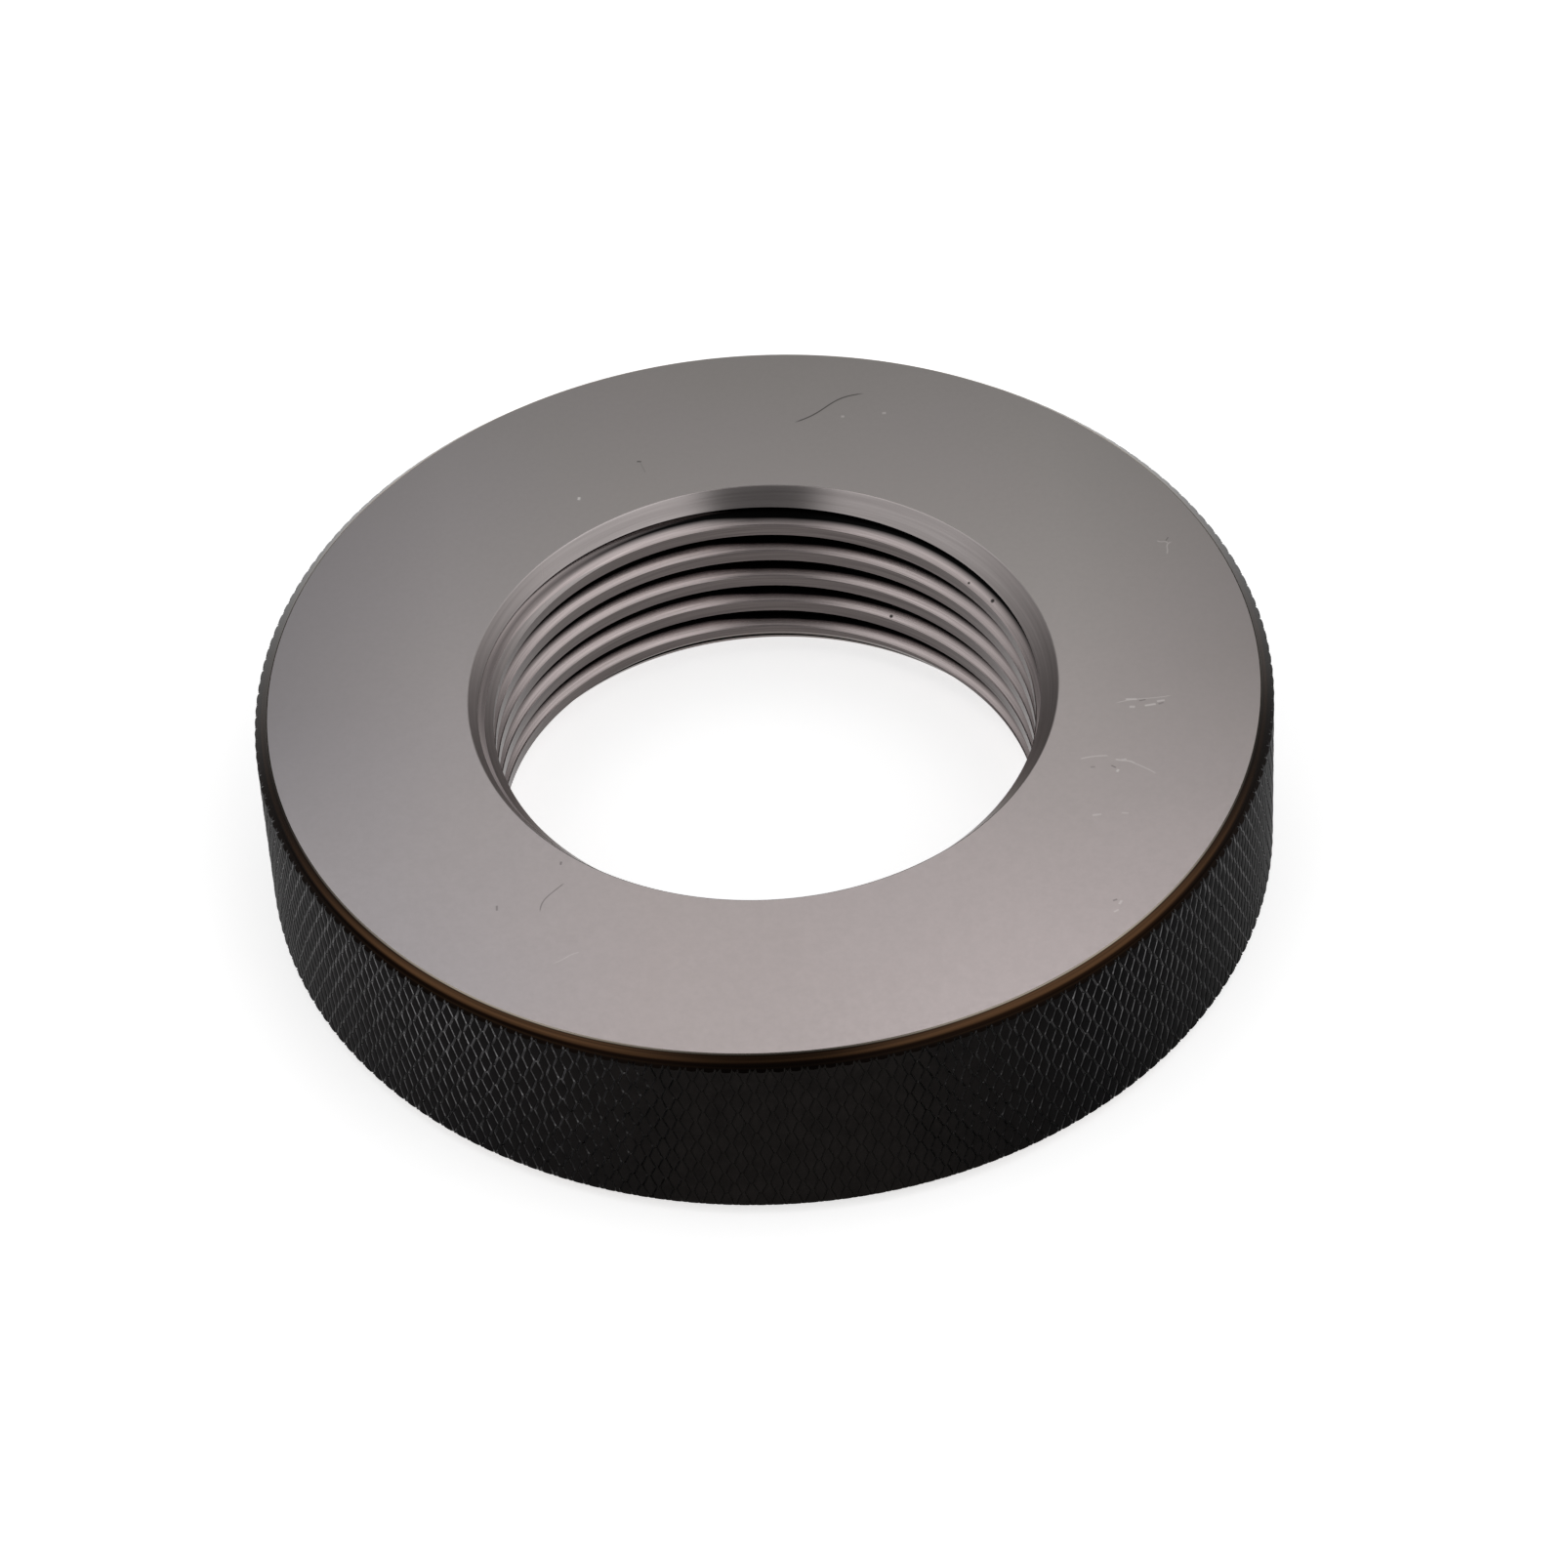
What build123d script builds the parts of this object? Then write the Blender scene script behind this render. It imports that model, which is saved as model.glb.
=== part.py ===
from build123d import *
from math import ceil, radians, tan
import os

# Thread ring gauge: one hardened steel ring, turned, knurled, threaded and ground.
# The lower face lies on the XY plane, the bore runs along +Z, and the side that the
# photograph shows nearest is -Y. All sizes are in millimetres and degrees.

# Blank
ring_diameter = 85.0    # over the tips of the knurl
thickness = 18.0        # between the two ground faces
rim_chamfer = 1.1       # 45 degree chamfer that ends the knurl at both faces

# Thread, right-handed, of the not-go form: wide crests, cut back towards the pitch line
thread_pitch = 3.0
crest_diameter = 45.3   # the bore, across the crests
crest_width = 1.18      # flat of a crest, along the axis
root_width = 0.2        # flat at the bottom of a groove, along the axis
thread_angle = 60.0     # between the two flanks of a groove
groove_height = 0.34    # middle of the lowest groove above the lower face, at +X

# Mouths of the bore, cones that the thread runs out into, as wide as this past the crests
upper_mouth = 1.95
lower_mouth = 1.85
mouth_angle = 37.0      # between the wall of a mouth and the axis

# The flanks, from the crest flats to the root flat, give the groove its depth
flank_slope = tan(radians(thread_angle / 2))
groove_mouth = thread_pitch - crest_width
groove_depth = (groove_mouth - root_width) / 2 / flank_slope
crest_radius = crest_diameter / 2
root_radius = crest_radius + groove_depth
mouth_slope = tan(radians(mouth_angle))

# The groove's section starts inside the bore by overcut, so that it cuts clean through
overcut = 0.25
section_start = crest_radius - overcut
section_mouth = groove_mouth / 2 + overcut * flank_slope

# The helix starts a full turn below the lower face and ends past the upper one
turns = ceil(thickness / thread_pitch) + 2
helix_start = groove_height - thread_pitch

# One turn of the groove, as the solid that the grinding wheel takes out
with BuildPart() as groove_turn:
    with BuildLine() as helix:
        Helix(pitch=thread_pitch, height=thread_pitch, radius=crest_radius)
    with BuildSketch(Plane.XZ):
        with BuildLine():
            Polyline(
                (section_start, -section_mouth),
                (root_radius, -root_width / 2),
                (root_radius, root_width / 2),
                (section_start, section_mouth),
                close=True,
            )
        make_face()
    sweep(path=helix.line, is_frenet=True)

with BuildPart() as ring_gauge:
    # Turned blank, bored to the crests
    with BuildSketch(Plane.XZ):
        with Locations(((ring_diameter / 2 + crest_radius) / 2, thickness / 2)):
            Rectangle(ring_diameter / 2 - crest_radius, thickness)
    revolve(axis=Axis.Z)

    # Chamfers on the rim, where the knurl ends
    rim_edges = ring_gauge.edges().filter_by(GeomType.CIRCLE).group_by(SortBy.RADIUS)[-1]
    chamfer(rim_edges, length=rim_chamfer)

    # Mouths of the bore, their widths measured on the two faces
    for end, mouth in ((0, lower_mouth), (-1, upper_mouth)):
        end_face = ring_gauge.faces().filter_by(Axis.Z).sort_by(Axis.Z)[end]
        mouth_edge = end_face.inner_wires()[0].edges()
        chamfer(mouth_edge, length=mouth, length2=mouth / mouth_slope, reference=end_face)

    # Thread, cut turn by turn up the bore
    for turn in range(turns):
        with Locations((0, 0, helix_start + turn * thread_pitch)):
            add(groove_turn.part, mode=Mode.SUBTRACT)

ring_gauge.part.label = "ring_gauge"

os.makedirs("parts", exist_ok=True)
export_step(ring_gauge.part, "parts/ring_gauge.step")
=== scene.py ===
from math import pi, radians, tan

import bmesh
import bpy
import numpy as np
from mathutils import Matrix, Vector


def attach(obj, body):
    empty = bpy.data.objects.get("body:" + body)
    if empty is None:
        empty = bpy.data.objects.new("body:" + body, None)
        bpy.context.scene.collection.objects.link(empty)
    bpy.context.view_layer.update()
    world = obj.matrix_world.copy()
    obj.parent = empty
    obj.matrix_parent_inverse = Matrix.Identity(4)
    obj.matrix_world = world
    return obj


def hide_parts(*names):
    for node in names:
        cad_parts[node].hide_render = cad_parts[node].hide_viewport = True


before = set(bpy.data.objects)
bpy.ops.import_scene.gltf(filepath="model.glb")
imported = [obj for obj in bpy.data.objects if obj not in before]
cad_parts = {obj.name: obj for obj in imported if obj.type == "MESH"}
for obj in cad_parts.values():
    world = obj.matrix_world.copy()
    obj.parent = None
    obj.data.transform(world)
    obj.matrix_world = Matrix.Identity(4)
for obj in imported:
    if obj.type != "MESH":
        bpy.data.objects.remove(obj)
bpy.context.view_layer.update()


# Bore
# The gauge is one hardened steel ring. Its right-hand thread has wide flat crests and 60
# degree grooves, ground after hardening, and a cone turned at each end cuts the first
# crests away. All sizes are in millimetres.
MM = 0.001
FULL_TURN = 2 * pi
rim_radius = 42.5
thickness = 18.0
edge_break = 0.05
thread_pitch = 3.0
crest_radius = 22.65
crest_width = 1.18
root_width = 0.2
groove_height = 0.34
upper_mouth_radius = crest_radius + 1.95
lower_mouth_radius = crest_radius + 1.85
mouth_slope = tan(radians(37))
crest_break = 0.05

# The groove's corners from below: offsets in height from its middle, and radii
flank_slope = tan(radians(30))
groove_half = (thread_pitch - crest_width) / 2
root_radius = crest_radius + (groove_half - root_width / 2) / flank_slope
break_depth = crest_break / flank_slope
section_offset = np.array([
    -groove_half - crest_break, -groove_half + crest_break, -root_width / 2,
    root_width / 2, groove_half - crest_break, groove_half + crest_break,
])
section_radius = np.array([
    crest_radius, crest_radius + break_depth, root_radius,
    root_radius, crest_radius + break_depth, crest_radius,
])

# Each corner of the thread's section meets each cone at one angle, which gets a column
upper_cone = upper_mouth_radius - mouth_slope * thickness
meeting_height = np.concatenate([
    (section_radius - upper_cone) / mouth_slope,
    (lower_mouth_radius - section_radius) / mouth_slope,
])
corner_turns = (meeting_height - groove_height - np.tile(section_offset, 2)) / thread_pitch
bore_columns = 480
bore_angle = FULL_TURN * np.unique(np.concatenate([
    np.linspace(0, 1, bore_columns + 1), corner_turns % 1,
]))

# Corners of every turn, one row each: they rise by a pitch over a full turn
turn_start = np.arange(-2, thickness / thread_pitch + 1) * thread_pitch + groove_height
corner_height = (turn_start[:, None] + section_offset).ravel()[:, None]
corner_height = corner_height + thread_pitch * bore_angle / FULL_TURN
corner_radius = np.tile(section_radius, len(turn_start))[:, None] + 0 * bore_angle


def cone_share(over):
    """How far along each stretch between two corners the wall meets a cone, from 0 to 1,
    where over is the corners' radius less the cone's."""
    return np.clip(over[:-1] / (over[:-1] - over[1:]), 0, 1)


# Between two corners lie two more rows, where the stretch meets the cones if it does. The
# wall is the outermost of the thread and the two cones.
meets = np.sort([
    cone_share(corner_radius - mouth_slope * corner_height - upper_cone),
    cone_share(corner_radius + mouth_slope * corner_height - lower_mouth_radius),
], axis=0)
share = np.stack([0 * meets[0], meets[0], meets[1]], axis=1)
row_height = corner_height[:-1, None] + share * np.diff(corner_height, axis=0)[:, None]
row_radius = corner_radius[:-1, None] + share * np.diff(corner_radius, axis=0)[:, None]
row_height = np.clip(
    row_height.reshape(-1, len(bore_angle)), edge_break, thickness - edge_break
)
row_radius = np.max([
    row_radius.reshape(-1, len(bore_angle)),
    upper_cone + mouth_slope * row_height,
    lower_mouth_radius - mouth_slope * row_height,
], axis=0)


def cylinder_points(radius, angle, height):
    """Points at radius along the angle's direction, and at height, as rows of x, y and z."""
    return np.stack(
        [radius * np.cos(angle), radius * np.sin(angle), height + 0 * angle], axis=-1
    )


bore_points = cylinder_points(row_radius, bore_angle, row_height).reshape(-1, 3)

# Quads between neighbouring rows and columns
rows, columns = row_height.shape
first = (np.arange(rows - 1)[:, None] * columns + np.arange(columns - 1)).ravel()
bore_faces = np.stack([first, first + 1, first + columns + 1, first + columns], axis=-1)

# A quad belongs to a cone or to a crest where its middle lies on it
middle_height = row_height.ravel()[bore_faces].mean(axis=1)
middle_radius = row_radius.ravel()[bore_faces].mean(axis=1)
cone_radius = np.maximum(
    upper_cone + mouth_slope * middle_height, lower_mouth_radius - mouth_slope * middle_height
)
lies_on = 0.002
in_mouth = np.abs(middle_radius - cone_radius) < lies_on
on_crest = middle_radius < crest_radius + lies_on

# Every finish is a material, and its place in this list is its number on the ring
finishes = []


def set_input(tree, socket, value):
    """Sets an input to a value, or links another node's output to it."""
    if isinstance(value, bpy.types.NodeSocket):
        tree.links.new(value, socket)
    elif isinstance(value, tuple) and len(value) < len(socket.default_value):
        socket.default_value = (*value, 1)
    else:
        socket.default_value = value


def add_node(tree, kind, sockets=(), **settings):
    """A node of a kind, with its settings, and its inputs set by name or number."""
    made = tree.nodes.new("ShaderNode" + kind)
    for name, value in settings.items():
        setattr(made, name, value)
    for name, value in dict(sockets).items():
        set_input(tree, made.inputs[name], value)
    return made


def maths(tree, operation, *values):
    """The output of a Math node over its values."""
    return add_node(tree, "Math", dict(enumerate(values)), operation=operation).outputs[0]


def remap(tree, value, low, high, to_low, to_high):
    """The output of a Map Range node, held within its new range."""
    return add_node(tree, "MapRange", {
        "Value": value, "From Min": low, "From Max": high, "To Min": to_low, "To Max": to_high,
    }).outputs["Result"]


def mix_colors(tree, factor, first, second):
    """The output of a colour Mix node, from first to second by factor."""
    return add_node(
        tree, "Mix", {0: factor, 6: first, 7: second}, data_type="RGBA"
    ).outputs[2]


def steel(name, roughness):
    """A new metal finish: its number on the ring, its node tree and its shader's inputs."""
    material = bpy.data.materials.new(name)
    material.use_nodes = True
    inputs = material.node_tree.nodes["Principled BSDF"].inputs
    inputs["Metallic"].default_value = 1
    inputs["Roughness"].default_value = roughness
    finishes.append(material)
    return len(finishes) - 1, material.node_tree, inputs


def place_parts(tree):
    """Object coordinates, whole and in parts: to the right, backwards and upwards."""
    place = add_node(tree, "TexCoord").outputs["Object"]
    sideways, backwards, height = add_node(tree, "SeparateXYZ", {0: place}).outputs
    return place, sideways, backwards, height


def way_from_axis(tree, place):
    """A place's distance from the axis, and the level way out to it, of length one."""
    level = add_node(
        tree, "VectorMath", {0: place, 1: (1, 1, 0)}, operation="MULTIPLY"
    ).outputs[0]
    from_axis = add_node(tree, "VectorMath", {0: level}, operation="LENGTH").outputs[1]
    way_out = add_node(tree, "VectorMath", {0: level}, operation="NORMALIZE").outputs[0]
    return from_axis, way_out


def new_group(name, inputs, outputs):
    """A shader node group with number inputs, given with their values, and number
    outputs. Returns it with the sockets inside that bring them in and take them out."""
    group = bpy.data.node_groups.new(name, "ShaderNodeTree")
    for label, value in inputs.items():
        socket = group.interface.new_socket(
            label, in_out="INPUT", socket_type="NodeSocketFloat"
        )
        socket.default_value = value
    for label in outputs:
        group.interface.new_socket(label, in_out="OUTPUT", socket_type="NodeSocketFloat")
    entry = group.nodes.new("NodeGroupInput").outputs
    return group, entry, group.nodes.new("NodeGroupOutput").inputs


def use_group(tree, group, values):
    """The outputs of a node group placed in a tree, with its inputs set by name."""
    placed = tree.nodes.new("ShaderNodeGroup")
    placed.node_tree = group
    for name, value in values.items():
        set_input(tree, placed.inputs[name], value)
    return placed.outputs


# Tool lines: noise over the radius and the height, drawn out along the way round
tool_lines, entry, out = new_group(
    "tool_lines", {"Lines per mm": 8.0, "Length in mm": 12.0, "Seed": 0.0}, ["Lines"]
)
place, sideways, backwards, height = place_parts(tool_lines)
from_axis, way_out = way_from_axis(tool_lines, place)
fineness = maths(tool_lines, "DIVIDE", entry["Lines per mm"], MM)
spots_round = maths(tool_lines, "DIVIDE", rim_radius, entry["Length in mm"])
round_place = add_node(
    tool_lines, "VectorMath", {0: way_out, "Scale": spots_round}, operation="SCALE"
).outputs[0]
line_height = add_node(tool_lines, "CombineXYZ", {
    "Z": maths(tool_lines, "MULTIPLY_ADD", height, fineness, entry["Seed"]),
}).outputs[0]
line_place = add_node(
    tool_lines, "VectorMath", {0: round_place, 1: line_height}, operation="ADD"
).outputs[0]
set_input(tool_lines, out["Lines"], add_node(tool_lines, "TexNoise", {
    "Vector": line_place, "W": maths(tool_lines, "MULTIPLY", from_axis, fineness),
    "Scale": 1.0, "Detail": 3.0, "Roughness": 0.6,
}, noise_dimensions="4D").outputs[0])


def lined_steel(name, dark, light, roughness, lines_per_mm, length, bump):
    """Steel with tool lines round the axis, between a dark and a light colour: what steel
    returns, and the colour."""
    number, tree, inputs = steel(name, roughness)
    lines = use_group(
        tree, tool_lines, {"Lines per mm": lines_per_mm, "Length in mm": length}
    )["Lines"]
    color = mix_colors(tree, remap(tree, lines, 0.3, 0.7, 0, 1), dark, light)
    set_input(tree, inputs["Base Color"], color)
    relief = add_node(
        tree, "Bump", {"Height": lines, "Strength": bump, "Distance": 0.02 * MM}
    )
    set_input(tree, inputs["Normal"], relief.outputs[0])
    return number, tree, inputs, color


# The wheel has ground the flanks bright. Their deeper half and the root are painted black as
# shade under the crest above, more at the back, but not in the top groove, which lies open.
# A few pits are black too.
FLANK, tree, inputs, ground = lined_steel(
    "thread_flank", (0.40, 0.348, 0.343), (0.57, 0.497, 0.488), 0.25, 6, 20, 0.15
)
place, sideways, backwards, height = place_parts(tree)
from_axis, way_out = way_from_axis(tree, place)
# Painted shade: the black reaches further up the flank at the back of the bore
shade_at_back = maths(
    tree, "MULTIPLY", remap(tree, sideways, -4 * MM, 0, 0, 0.25 * MM),
    remap(tree, sideways, 4 * MM, 13 * MM, 1, 0),
)
from_axis = maths(tree, "ADD", from_axis, shade_at_back)
# Painted shade on the deeper flank, except in the open top groove
flank_shade_and_pits = maths(
    tree, "MULTIPLY", remap(tree, from_axis, 23.05 * MM, 23.5 * MM, 0, 1),
    remap(tree, height, 15.9 * MM, 16.5 * MM, 1, 0),
)
# Painted shade at the root, all round
flank_shade_and_pits = maths(
    tree, "MAXIMUM", flank_shade_and_pits, remap(tree, from_axis, 23.85 * MM, 24.0 * MM, 0, 1)
)
for x, y, z, size in (
    (19.92, 11.69, 14.94, 0.5), (18.05, 14.10, 14.89, 0.3), (11.48, 19.81, 6.07, 0.4),
):
    away = add_node(
        tree, "VectorMath", {0: place, 1: (x * MM, y * MM, z * MM)}, operation="DISTANCE"
    ).outputs[1]
    pit = remap(tree, away, 0.25 * size * MM, 0.5 * size * MM, 0.9, 0)
    flank_shade_and_pits = maths(tree, "MAXIMUM", flank_shade_and_pits, pit)
set_input(
    tree, inputs["Base Color"], mix_colors(tree, flank_shade_and_pits, ground, (0.004, 0.004, 0.004))
)

# The crests are painted a darker grey than the flanks, as painted shade. The mouths shine,
# though less towards the two sides.
CREST = lined_steel(
    "thread_crest", (0.075, 0.064, 0.062), (0.14, 0.12, 0.116), 0.3, 10, 20, 0.2
)[0]
MOUTH, tree, inputs = lined_steel(
    "turned_mouth", (0.39, 0.352, 0.346), (0.52, 0.475, 0.467), 0.2, 3, 40, 0.06
)[:3]
off_middle = maths(tree, "ABSOLUTE", place_parts(tree)[1])
set_input(tree, inputs["Roughness"], remap(tree, off_middle, 16 * MM, 22 * MM, 0.2, 0.42))
inputs["Specular Tint"].default_value = (0.3, 0.28, 0.27, 1)
bore_finish = np.select([in_mouth, on_crest], [MOUTH, CREST], FLANK)


# Knurl
# Two families of grooves rolled into the rim at 30 degrees to the axis leave flat-topped
# diamonds, under the black skin of hardening. The lines u and v run along the two
# families, and whole numbers are grooves.
rim_chamfer = 1.1
face_radius = rim_radius - rim_chamfer
weld_distance = 0.0005
knurl_starts = 192
knurl_angle = radians(30)
knurl_depth = 0.26
groove_share = 0.12
wall_push = 0.09
land_crown = 0.035
line_share = np.array([0, groove_share, 0.5, 1 - groove_share])
line_depth = np.array([knurl_depth, land_crown, 0, land_crown])
lines = len(line_share)
knurl_rise = FULL_TURN * rim_radius / (knurl_starts * tan(knurl_angle))

# Every diamond is a cell between two u and two v lines, cut by its own fine lines.
# Going once round adds the number of starts to both u and v.
cells_up = int(thickness / knurl_rise * 2) + 3
u_cell, up_cell, u_fine, v_fine = np.meshgrid(
    np.arange(knurl_starts), np.arange(cells_up), np.arange(lines), np.arange(lines),
    indexing="ij",
)
u_line = (u_cell * lines + u_fine).ravel()
v_line = ((u_cell - up_cell) * lines + v_fine).ravel()
corners = np.stack([
    [u_line, v_line], [u_line + 1, v_line], [u_line + 1, v_line + 1], [u_line, v_line + 1],
], axis=1)
knots, knurl_faces = np.unique(corners.reshape(2, -1), axis=1, return_inverse=True)
knurl_faces = knurl_faces.reshape(4, -1).T
u_cell, v_cell = knots // lines
u_fine, v_fine = knots % lines

# Where one family crosses the other it pushes the walls aside, here more and there less
uneven = np.random.default_rng(5).uniform(0.7, 1.3, (knurl_starts, cells_up + 3))
uneven = uneven[u_cell % knurl_starts, u_cell - v_cell + 1]
side_push = wall_push * uneven * np.array([0, 1, 0, -1])[[u_fine, v_fine]]
u_knot = u_cell + line_share[u_fine] + side_push[1]
v_knot = v_cell + line_share[v_fine] + side_push[0]

# A knot's way round is the mean of its two lines, its height half their difference, and
# its depth that of the deeper one
knurl_turn = (u_knot + v_knot) / 2 / knurl_starts
knurl_height = (u_knot - v_knot) / 2 * knurl_rise
knurl_radius = rim_radius - np.maximum(line_depth[u_fine], line_depth[v_fine])


def surface_mesh(name, points, faces):
    """A mesh of points, in millimetres, and faces, as rows of point numbers."""
    mesh = bpy.data.meshes.new(name)
    mesh.from_pydata((points * MM).tolist(), [], faces.tolist())
    return mesh


# The band is laid out flat, cut along the two chamfers, then rolled round the axis
rim_skin = surface_mesh("knurl", np.stack(
    [knurl_turn * FULL_TURN * rim_radius, knurl_height, knurl_radius], axis=-1
), knurl_faces)
skin = bmesh.new()
skin.from_mesh(rim_skin)
for end_height, side in ((thickness, 1), (0, -1)):
    bmesh.ops.bisect_plane(
        skin, geom=skin.verts[:] + skin.edges[:] + skin.faces[:],
        plane_co=(0, end_height * MM, face_radius * MM), plane_no=(0, side, 1),
        clear_outer=True, dist=1e-8,
    )
skin.to_mesh(rim_skin)
flat = np.empty(len(rim_skin.vertices) * 3)
rim_skin.vertices.foreach_get("co", flat)
along, up, outwards = flat.reshape(-1, 3).T / MM
rim_skin.vertices.foreach_set(
    "co", (cylinder_points(outwards, along / rim_radius, up) * MM).ravel()
)


def noise(tree, place, per_mm, detail=3.0, roughness=0.6):
    """The output of a Noise node on Object coordinates, of so many spots in a millimetre."""
    return add_node(tree, "TexNoise", {
        "Vector": place, "Scale": per_mm / MM, "Detail": detail, "Roughness": roughness,
    }).outputs[0]


# The skin is a dull black, and bare steel shows through it along the bottoms of the grooves.
# Where it shows is a painted highlight: most at the left and towards the top, and not at the
# front and the back. At the two sides the lines and the black are painted duller as shade, and
# the lines reach further up the grooves' walls. Deeper in the grooves the black is painted
# lighter.
KNURL, tree, inputs = steel("blackened_knurl", 0.3)
inputs["Specular IOR Level"].default_value = 0.004
place, sideways, backwards, height = place_parts(tree)
from_axis, way_out = way_from_axis(tree, place)
off_middle = maths(tree, "ABSOLUTE", sideways)
# Painted highlight: the bare lines show at the sides, towards the top and more at the left
at_side = remap(tree, off_middle, 8 * MM, 25 * MM, 0, 1)
depth = maths(tree, "SUBTRACT", rim_radius * MM, from_axis)
up_wall = remap(tree, off_middle, 20 * MM, 34 * MM, 0, 0.05 * MM)
bare_and_glint = remap(tree, maths(tree, "ADD", depth, up_wall), 0.12 * MM, 0.16 * MM, 0, 1)
bare_and_glint = maths(tree, "MULTIPLY", bare_and_glint, remap(tree, noise(tree, place, 1.2), 0.35, 0.6, 0.35, 1))
bare_and_glint = maths(tree, "MULTIPLY", bare_and_glint, remap(tree, off_middle, 20 * MM, 34 * MM, 1, 0.35))
near_top = maths(
    tree, "MULTIPLY", remap(tree, height, 2 * MM, 16 * MM, 0.3, 1),
    remap(tree, height, 16.3 * MM, 16.9 * MM, 1, 0.3),
)
bare_and_glint = maths(tree, "MULTIPLY", bare_and_glint, maths(tree, "MULTIPLY", at_side, near_top))
bare_and_glint = maths(tree, "MULTIPLY", bare_and_glint, remap(tree, sideways, -15 * MM, 15 * MM, 1, 0.65))
patches = remap(tree, noise(tree, place, 0.6, 4), 0.35, 0.65, 0, 1)
black = mix_colors(tree, patches, (0.012, 0.0105, 0.0098), (0.017, 0.0148, 0.0138))
# Painted light: the black is lighter deeper in the grooves, against their shade
groove_fill_light = remap(tree, depth, 0.03 * MM, 0.1 * MM, 0, 0.4)
black = mix_colors(tree, groove_fill_light, black, (0.04, 0.036, 0.034))
# Painted shade: the black is darker at the two sides, most at the right
painted_shade_at_sides = mix_colors(
    tree, remap(tree, sideways, -15 * MM, 15 * MM, 0, 1),
    (0.011, 0.0102, 0.0105), (0.006, 0.0057, 0.006),
)
black = mix_colors(tree, at_side, black, painted_shade_at_sides)
set_input(tree, inputs["Base Color"], mix_colors(tree, bare_and_glint, black, (0.38, 0.373, 0.38)))
set_input(tree, inputs["Metallic"], remap(tree, bare_and_glint, 0, 0.05, 0, 1))
rim_skin.polygons.foreach_set("material_index", [KNURL] * len(rim_skin.polygons))
skin.clear()
skin.from_mesh(rim_skin)
bmesh.ops.remove_doubles(skin, verts=skin.verts[:], dist=weld_distance * MM)


# Chamfers and faces
# The rim is chamfered at 45 degrees at both ends, and hardening left it brown. Each face
# is ground flat and lapped, and the stone leaves its edges broken by a hair.
def knurl_edge(upper):
    """The knurl's open edge at one end: its points' angles, radii and heights, in order."""
    found = np.array([
        vertex.co for vertex in skin.verts
        if vertex.is_boundary and (vertex.co.z > thickness / 2 * MM) == upper
    ]) / MM
    found = found[np.argsort(np.arctan2(found[:, 1], found[:, 0]))]
    x, y, z = found.T
    return np.arctan2(y, x), np.hypot(x, y), z


def plain_ring(angle, radius, height):
    """A ring of points at the given angles, all at one radius and height."""
    return angle, radius + 0 * angle, height + 0 * angle


def band_between(first_ring, second_ring):
    """Points and triangles between two closed rings, each of angles, radii and heights.
    Going round, each point in turn closes a triangle with the last ones on both rings."""
    count, other = len(first_ring[0]), len(second_ring[0])
    order = np.argsort(np.concatenate([first_ring[0], second_ring[0]]), kind="stable")
    on_first = order < count
    last_first = np.cumsum(on_first) - 1
    last_second = np.cumsum(~on_first) - 1
    before = np.where(
        on_first, (last_first - 1) % count, count + (last_second - 1) % other
    )
    faces = np.stack([last_first % count, count + last_second % other, before], axis=-1)
    points = [cylinder_points(r, a, z) for a, r, z in (first_ring, second_ring)]
    return np.concatenate(points), faces


def color_ramp(tree, value, stops):
    """The output of a Color Ramp node over its stops, each a share and a colour."""
    ramp = add_node(tree, "ValToRGB", {0: value})
    elements = ramp.color_ramp.elements
    elements.remove(elements[1])
    for share, color in stops:
        element = elements.new(share) if share else elements[0]
        element.color = (*color, 1)
    return ramp.outputs[0]


CHAMFER, tree, inputs, lined = lined_steel(
    "tinted_chamfer", (0.2, 0.2, 0.22), (1.2, 1.15, 1.05), 0.25, 2.5, 40, 0.1
)
inputs["Specular Tint"].default_value = (0.85, 0.85, 0.85, 1)
place, sideways, backwards, height = place_parts(tree)
half_up = thickness / 2 * MM
from_half = maths(tree, "ABSOLUTE", maths(tree, "SUBTRACT", height, half_up))
up_chamfer = remap(tree, from_half, half_up - rim_chamfer * MM, half_up, 0, 1)
tint = color_ramp(tree, up_chamfer, (
    (0.0, (0.008, 0.006, 0.005)), (0.20, (0.009, 0.006, 0.005)), (0.26, (0.022, 0.013, 0.008)),
    (0.33, (0.012, 0.007, 0.005)), (0.46, (0.020, 0.010, 0.006)), (0.60, (0.140, 0.074, 0.038)),
    (0.84, (0.110, 0.060, 0.034)), (0.91, (0.040, 0.025, 0.016)), (0.95, (0.50, 0.45, 0.39)),
))
# Painted shade: the tint fades to dark at the front middle and at the far sides
off_middle = maths(tree, "ABSOLUTE", sideways)
painted_light_share = maths(
    tree, "MULTIPLY", remap(tree, off_middle, 2 * MM, 18 * MM, 0.5, 1),
    remap(tree, off_middle, 30 * MM, 40 * MM, 1, 0.15),
)
tint = mix_colors(tree, painted_light_share, (0.012, 0.009, 0.008), tint)
set_input(tree, inputs["Base Color"], add_node(
    tree, "Mix", {0: 1.0, 6: tint, 7: lined}, data_type="RGBA", blend_type="MULTIPLY"
).outputs[2])

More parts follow.
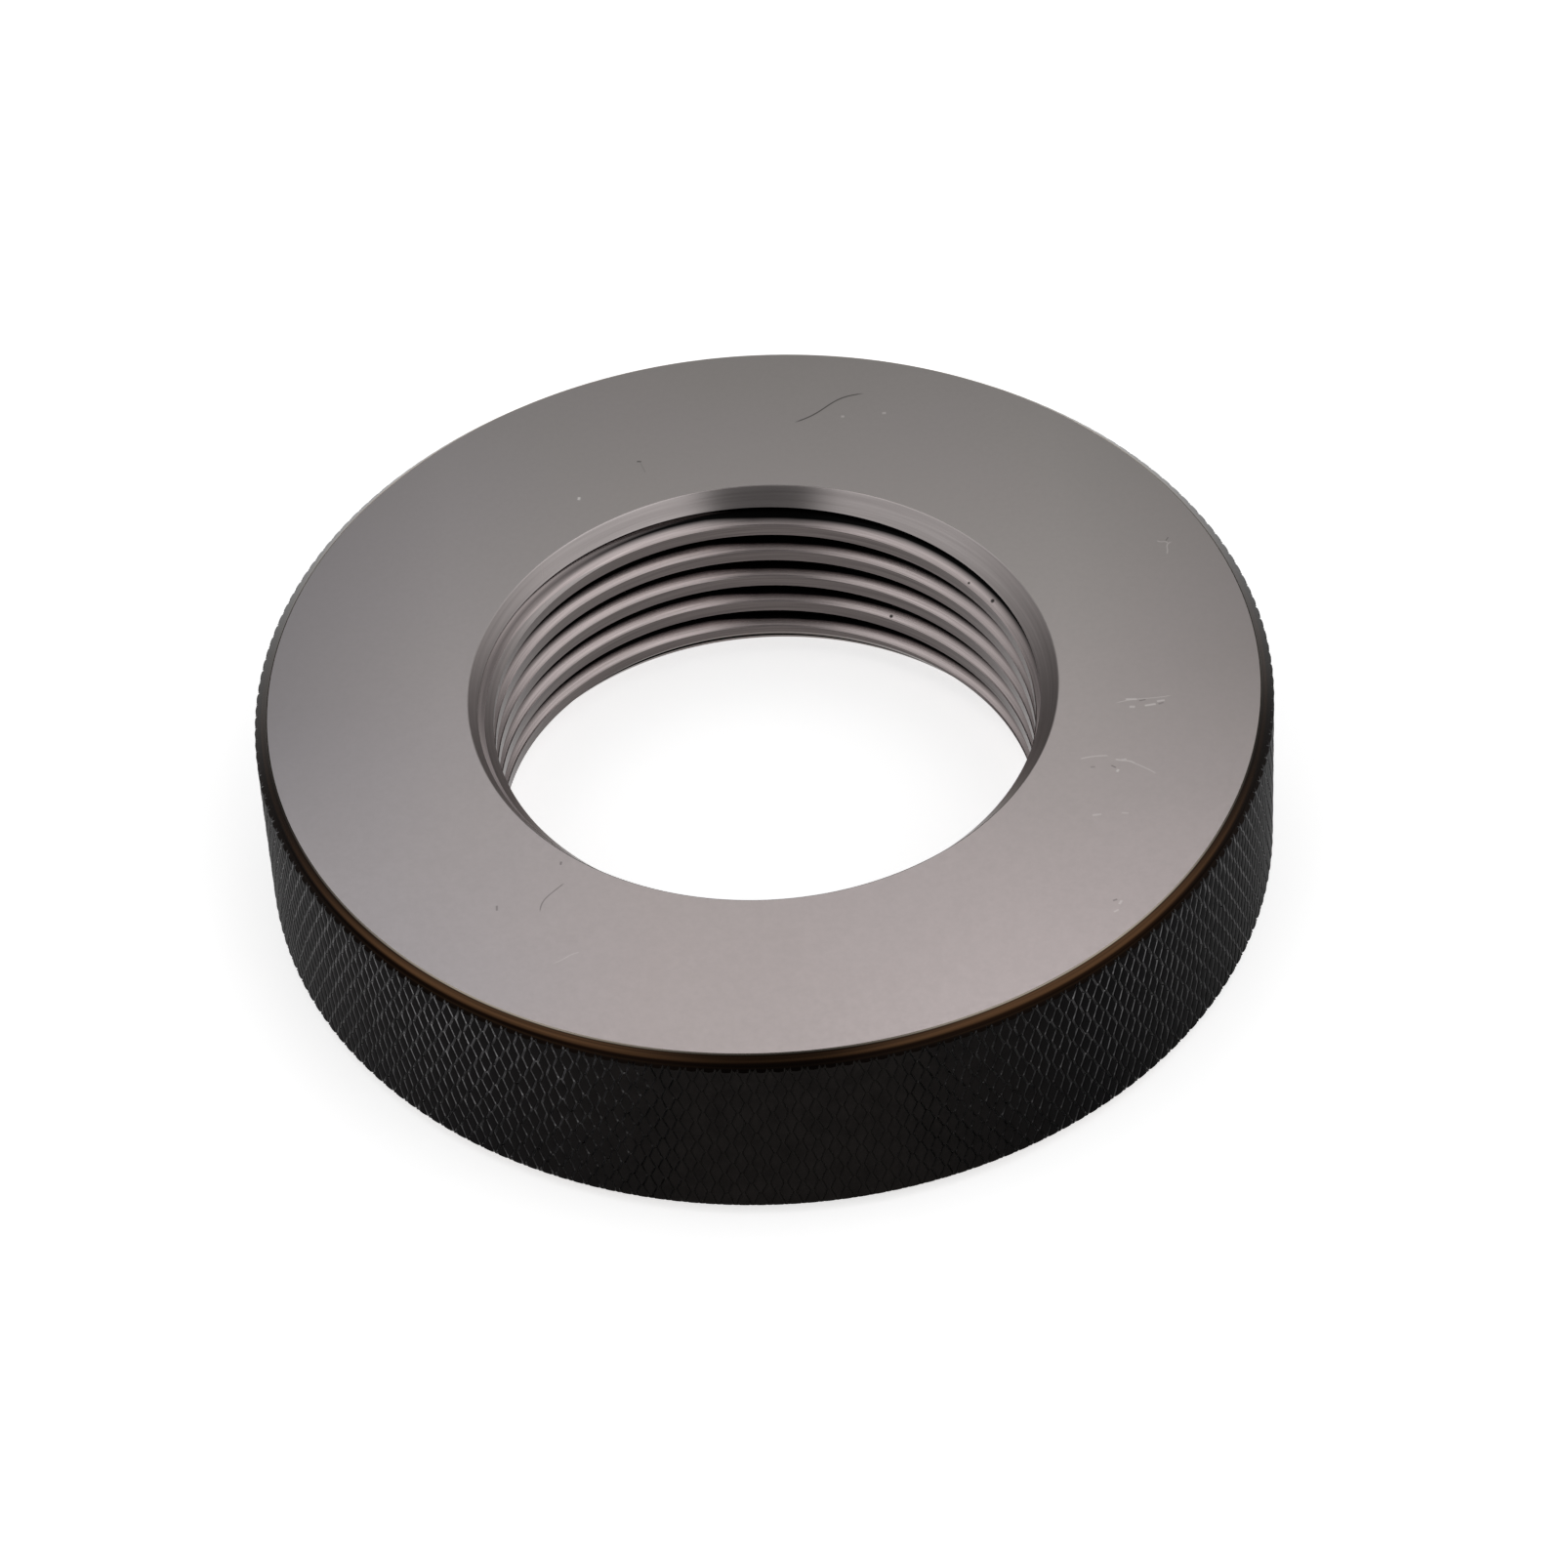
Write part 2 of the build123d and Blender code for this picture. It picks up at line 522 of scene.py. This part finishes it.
# A mark on the upper face is a fine line, with a bend and a sway, that fades at its ends
mark, entry, out = new_group("mark", {
    "X": 0.0, "Y": 0.0, "Turn": 0.0, "Length": 1.0, "Width": 0.1, "Bend": 0.0, "Sway": 0.0,
}, ["Share"])
place = add_node(mark, "TexCoord").outputs["Object"]
place = add_node(
    mark, "VectorMath", {0: place, "Scale": 1 / MM}, operation="SCALE"
).outputs[0]
middle = add_node(mark, "CombineXYZ", {"X": entry["X"], "Y": entry["Y"], "Z": thickness})
place = add_node(
    mark, "VectorMath", {0: place, 1: middle.outputs[0]}, operation="SUBTRACT"
).outputs[0]
place = add_node(mark, "VectorRotate", {
    "Vector": place, "Angle": maths(mark, "MULTIPLY", entry["Turn"], -radians(1)),
}, rotation_type="Z_AXIS").outputs[0]
along, across, height = add_node(mark, "SeparateXYZ", {0: place}).outputs
along = maths(mark, "DIVIDE", along, entry["Length"])
curve = maths(mark, "MULTIPLY_ADD", maths(mark, "MULTIPLY", along, along), -4, 1)
curve = maths(mark, "MULTIPLY", curve, entry["Bend"])
wave = maths(mark, "SINE", maths(mark, "MULTIPLY", along, FULL_TURN))
curve = maths(mark, "MULTIPLY_ADD", wave, entry["Sway"], curve)
off_line = maths(mark, "ABSOLUTE", maths(mark, "SUBTRACT", across, curve))
on_line = remap(mark, maths(mark, "DIVIDE", off_line, entry["Width"]), 0.2, 0.6, 1, 0)
on_length = remap(mark, maths(mark, "ABSOLUTE", along), 0.42, 0.5, 1, 0)
on_top = remap(mark, maths(mark, "ABSOLUTE", height), 0.1, 0.2, 1, 0)
set_input(mark, out["Share"], maths(
    mark, "MULTIPLY", maths(mark, "MULTIPLY", on_line, on_length), on_top
))


def marks_share(tree, marks):
    """How much of the face's colour the marks take, each given by its middle, its turn in
    degrees, its length, width, bend and sway, and its depth of colour."""
    share = 0.0
    for x, y, turn, length, width, bend, sway, depth in marks:
        one = use_group(tree, mark, {
            "X": x, "Y": y, "Turn": turn, "Length": length, "Width": width, "Bend": bend,
            "Sway": sway,
        })["Share"]
        share = maths(tree, "MAXIMUM", share, maths(tree, "MULTIPLY", one, depth))
    return share


# The face has a fine even grain, from a warm grey at the back to a pinkish one at the front,
# and bluish at the left. Its near right is painted paler as a highlight, and both ends darker
# as shade.
FACE, tree, inputs = steel("ground_face", 0.3)
place, sideways, backwards, height = place_parts(tree)
drift = maths(tree, "MULTIPLY_ADD", noise(tree, place, 0.05, 2.0, 0.5), 0.6, -0.3)
to_front = maths(tree, "ADD", remap(tree, backwards, 30 * MM, -30 * MM, 0, 1), drift)
to_left = maths(tree, "ADD", remap(tree, sideways, -10 * MM, -40 * MM, 0, 0.9), drift)
face_color = mix_colors(tree, to_front, (0.50, 0.468, 0.45), (0.535, 0.472, 0.465))
face_color = mix_colors(tree, to_left, face_color, (0.50, 0.47, 0.485))
# Painted highlight: the near right is paler
painted_light_near_right = maths(
    tree, "MULTIPLY", remap(tree, sideways, 0, 20 * MM, 0, 1),
    remap(tree, backwards, -15 * MM, -38 * MM, 0, 1),
)
face_color = mix_colors(tree, painted_light_near_right, face_color, (0.61, 0.535, 0.53))
# Painted shade: both ends are darker, except towards the front
off_middle = maths(tree, "ABSOLUTE", sideways)
painted_shade_at_ends = maths(
    tree, "MULTIPLY", remap(tree, off_middle, 26 * MM, 42 * MM, 0, 0.17),
    remap(tree, backwards, -20 * MM, 0, 0, 1),
)
face_color = mix_colors(tree, painted_shade_at_ends, face_color, (0, 0, 0))
grain = noise(tree, place, 2.2)
grain_share = remap(tree, grain, 0.3, 0.7, 0, 0.08)
face_color = mix_colors(tree, grain_share, face_color, (0.3, 0.28, 0.27))
dark_share = marks_share(tree, (
    (7.3, 33.9, 27, 7.0, 0.16, 0.32, 0.27, 0.8),
    (-18.1, -22.8, -124, 3.7, 0.14, -0.38, -0.08, 0.45),
    (-17.3, -19.0, 80, 0.4, 0.2, 0, 0, 0.5),
    (-22.6, -23.6, 90, 0.6, 0.2, 0, 0, 0.4),
    (-9.4, 28.6, -10, 0.4, 0.2, 0, 0, 0.7),
    (-9.1, 27.8, -73, 1.3, 0.12, 0, 0, 0.2),
    (31.3, -4.5, 10, 0.6, 0.15, 0, 0, 0.4),
    (32.8, -5.0, 20, 0.5, 0.2, 0, 0, 0.3),
    (28.3, -12.0, -40, 0.5, 0.15, 0, 0, 0.5),
    (35.0, 14.7, 60, 0.5, 0.15, 0, 0, 0.4),
    (27.2, -27.1, 20, 0.4, 0.2, 0, 0, 0.45),
    (26.6, -11.9, 0, 0.4, 0.2, 0, 0, 0.3),
))
face_color = mix_colors(tree, dark_share, face_color, (0.06, 0.055, 0.05))
pale_share = marks_share(tree, (
    (31.4, -4.4, 6, 4.8, 0.12, 0.08, -0.07, 0.3),
    (30.4, -4.3, -5, 1.0, 0.22, 0, 0, 0.45),
    (32.8, -4.7, 8, 0.7, 0.25, 0, 0, 0.4),
    (31.9, -5.1, 7, 1.0, 0.25, 0, 0, 0.45),
    (30.4, -5.2, -5, 0.5, 0.3, 0, 0, 0.35),
    (26.8, -10.8, 4, 2.4, 0.16, 0.12, 0, 0.3),
    (29.3, -11.5, -22, 1.8, 0.2, 0.1, 0.05, 0.3),
    (30.8, -12.4, -38, 2.3, 0.14, 0.06, 0, 0.25),
    (29.2, -11.3, 10, 0.5, 0.3, 0, 0, 0.3),
    (28.6, -12.5, 60, 0.35, 0.25, 0, 0, 0.45),
    (26.5, -17.4, 5, 0.8, 0.25, 0, 0, 0.25),
    (28.8, -17.4, -10, 0.6, 0.2, 0, 0, 0.2),
    (27.6, -27.4, 60, 0.5, 0.25, 0, 0, 0.35),
    (27.2, -28.3, 30, 0.5, 0.2, 0, 0, 0.3),
    (-17.1, -29.6, 26, 2.4, 0.12, 0.05, 0.06, 0.2),
    (-14.7, 24.4, 80, 0.4, 0.3, 0, 0, 0.9),
    (8.4, 32.7, 0, 0.3, 0.3, 0, 0, 0.5),
    (12.0, 32.8, 0, 0.35, 0.3, 0, 0, 0.5),
    (35.1, 13.6, 70, 1.6, 0.15, 0.2, 0.1, 0.35),
    (34.6, 14.3, -30, 1.1, 0.15, 0.1, 0.1, 0.35),
))
face_color = mix_colors(tree, pale_share, face_color, (0.95, 0.91, 0.89))
set_input(tree, inputs["Base Color"], face_color)
set_input(tree, inputs["Roughness"], remap(tree, grain, 0.3, 0.7, 0.28, 0.32))
face_bump = add_node(tree, "Bump", {"Height": grain, "Strength": 0.015, "Distance": 0.02 * MM})
set_input(tree, inputs["Normal"], face_bump.outputs[0])

# From the knurl's edge over the chamfer, the broken edge and the face to the mouth
face_columns = 720
ring_angle = np.linspace(-pi, pi, face_columns, endpoint=False)
mouth_angle = np.sort((bore_angle[:-1] + pi) % FULL_TURN - pi)
surfaces = [(bore_points, bore_faces, bore_finish)]
for face_height, inwards, mouth_radius in (
    (thickness, -edge_break, upper_mouth_radius),
    (0, edge_break, lower_mouth_radius),
):
    rings = [
        knurl_edge(face_height > 0),
        plain_ring(ring_angle, face_radius + edge_break, face_height + inwards),
        plain_ring(ring_angle, face_radius - edge_break, face_height),
        plain_ring(mouth_angle, mouth_radius + edge_break, face_height),
        plain_ring(
            mouth_angle, mouth_radius - mouth_slope * edge_break, face_height + inwards
        ),
    ]
    for outer, inner, finish in zip(rings, rings[1:], (CHAMFER, CHAMFER, FACE, MOUTH)):
        points, faces = band_between(outer, inner)
        surfaces.append((points, faces, np.full(len(faces), finish)))


# Ring
# All the surfaces are one closed skin, because the ring is one piece of steel. Edges that
# turn by more than the sharp angle are crisp.
sharp_angle = radians(12)
for points, faces, finish in surfaces:
    mesh = surface_mesh("surface", points, faces)
    mesh.polygons.foreach_set("material_index", finish)
    skin.from_mesh(mesh)
    bpy.data.meshes.remove(mesh)
bmesh.ops.remove_doubles(skin, verts=skin.verts[:], dist=weld_distance * MM)
bmesh.ops.recalc_face_normals(skin, faces=skin.faces[:])
skin.to_mesh(rim_skin)
skin.free()
rim_skin.name = "thread_ring_gauge"
rim_skin.shade_smooth()
rim_skin.set_sharp_from_angle(angle=sharp_angle)
for finish in finishes:
    rim_skin.materials.append(finish)
ring = bpy.data.objects.new("thread_ring_gauge", rim_skin)
bpy.context.scene.collection.objects.link(ring)
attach(ring, "root")
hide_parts("ring_gauge")


# Floor
# A plain white floor, which looks white by itself and in the steel, and keeps the soft
# shadow of the ring. It lies a hair under the lower face, so that the two stay apart.
floor_half = 3.0
floor_height = -0.05 * MM
floor_mesh = bpy.data.meshes.new("floor")
floor_mesh.from_pydata([
    (-floor_half, -floor_half, floor_height), (floor_half, -floor_half, floor_height),
    (floor_half, floor_half, floor_height), (-floor_half, floor_half, floor_height),
], [], [(0, 1, 2, 3)])
floor = bpy.data.objects.new("floor", floor_mesh)
bpy.context.scene.collection.objects.link(floor)
floor_paint = bpy.data.materials.new("floor")
floor_paint.use_nodes = True
tree = floor_paint.node_tree
inputs = tree.nodes["Principled BSDF"].inputs
inputs["Base Color"].default_value = (0.8, 0.8, 0.8, 1)
inputs["Roughness"].default_value = 0.9
inputs["Specular IOR Level"].default_value = 0
inputs["Emission Color"].default_value = (1, 1, 1, 1)
rays = add_node(tree, "LightPath").outputs
seen = maths(tree, "MAXIMUM", rays["Is Camera Ray"], maths(
    tree, "MAXIMUM", rays["Is Glossy Ray"], rays["Is Transmission Ray"]
))
set_input(tree, inputs["Emission Strength"], maths(tree, "MULTIPLY", seen, 0.65))
floor_mesh.materials.append(floor_paint)


# Light
# A plain studio: a white tent, darker towards the floor and at the back, with a dark gap
# for the camera that runs from the front up to overhead and narrows on the way.
world = bpy.data.worlds.new("tent")
world.use_nodes = True
bpy.context.scene.world = world
tree = world.node_tree
way = add_node(tree, "TexCoord").outputs["Generated"]
sideways, backwards, upwards = add_node(tree, "SeparateXYZ", {0: way}).outputs
levels = ((0.0, 0.30), (0.25, 0.66), (0.40, 0.60), (0.80, 0.80), (1.0, 1.0))
tent = color_ramp(tree, upwards, [(share, (level,) * 3) for share, level in levels])
spread = maths(tree, "MULTIPLY", sideways, remap(tree, upwards, 0.45, 0.95, 1, 1.7))
gap = maths(
    tree, "MULTIPLY",
    remap(tree, spread, -0.50, -0.32, 0, 1), remap(tree, spread, 0.20, 0.36, 1, 0),
)
gap = maths(tree, "MULTIPLY", gap, remap(tree, backwards, -0.15, 0.10, 1, 0))
back_level = remap(tree, upwards, 0.2, 0.5, 0.7, 0.15)
strength = maths(
    tree, "MULTIPLY",
    remap(tree, gap, 0, 1, 1, 0.2), remap(tree, backwards, 0.3, 0.65, 1, back_level),
)
strength = maths(tree, "MULTIPLY", strength, remap(tree, sideways, 0.1, 0.5, 1, 1.2))
background = tree.nodes["Background"]
set_input(tree, background.inputs["Color"], tent)
set_input(tree, background.inputs["Strength"], strength)


def soft_box(name, place, width, height, radiance):
    """A rectangular area light that looks at the middle of the ring, sizes in metres."""
    light = bpy.data.lights.new(name, "AREA")
    light.shape = "RECTANGLE"
    light.size = width
    light.size_y = height
    light.energy = radiance * pi * width * height
    lamp = bpy.data.objects.new(name, light)
    bpy.context.scene.collection.objects.link(lamp)
    aim = Vector((0, 0, thickness / 2 * MM)) - Vector(place)
    lamp.matrix_world = (
        Matrix.Translation(place) @ aim.to_track_quat("-Z", "Y").to_matrix().to_4x4()
    )


# One behind, which the face reflects, and a wide low one in front, which the knurl does
soft_box("back_box", (0.003, 0.30, 0.45), 0.22, 0.22, 0.88)
soft_box("front_box", (0, -0.60, 0.08), 1.2, 0.12, 1.2)


# Camera
# The photograph's view: from -Y, down on the middle of the upper face through a long
# lens. It aims a little past that point, and is rolled by a few degrees.
camera_distance = 570.9 * MM
camera_elevation = radians(44.414)
lens_share = 7022.4 / 1606
aim_yaw = radians(0.1247)
aim_pitch = radians(0.8255)
camera_roll = radians(3.669)

camera_data = bpy.data.cameras.new("camera")
camera_data.sensor_width = 36
camera_data.lens = lens_share * camera_data.sensor_width
camera_data.clip_start = 0.01
camera = bpy.data.objects.new("camera", camera_data)
bpy.context.scene.collection.objects.link(camera)
bpy.context.scene.camera = camera
camera.matrix_world = (
    Matrix.Translation((0, 0, thickness * MM))
    @ Matrix.Rotation(pi / 2 - camera_elevation, 4, "X")
    @ Matrix.Translation((0, 0, camera_distance))
    @ Matrix.Rotation(-aim_yaw, 4, "Y")
    @ Matrix.Rotation(-aim_pitch, 4, "X")
    @ Matrix.Rotation(-camera_roll, 4, "Z")
)

bpy.context.scene.view_settings.view_transform = "Standard"
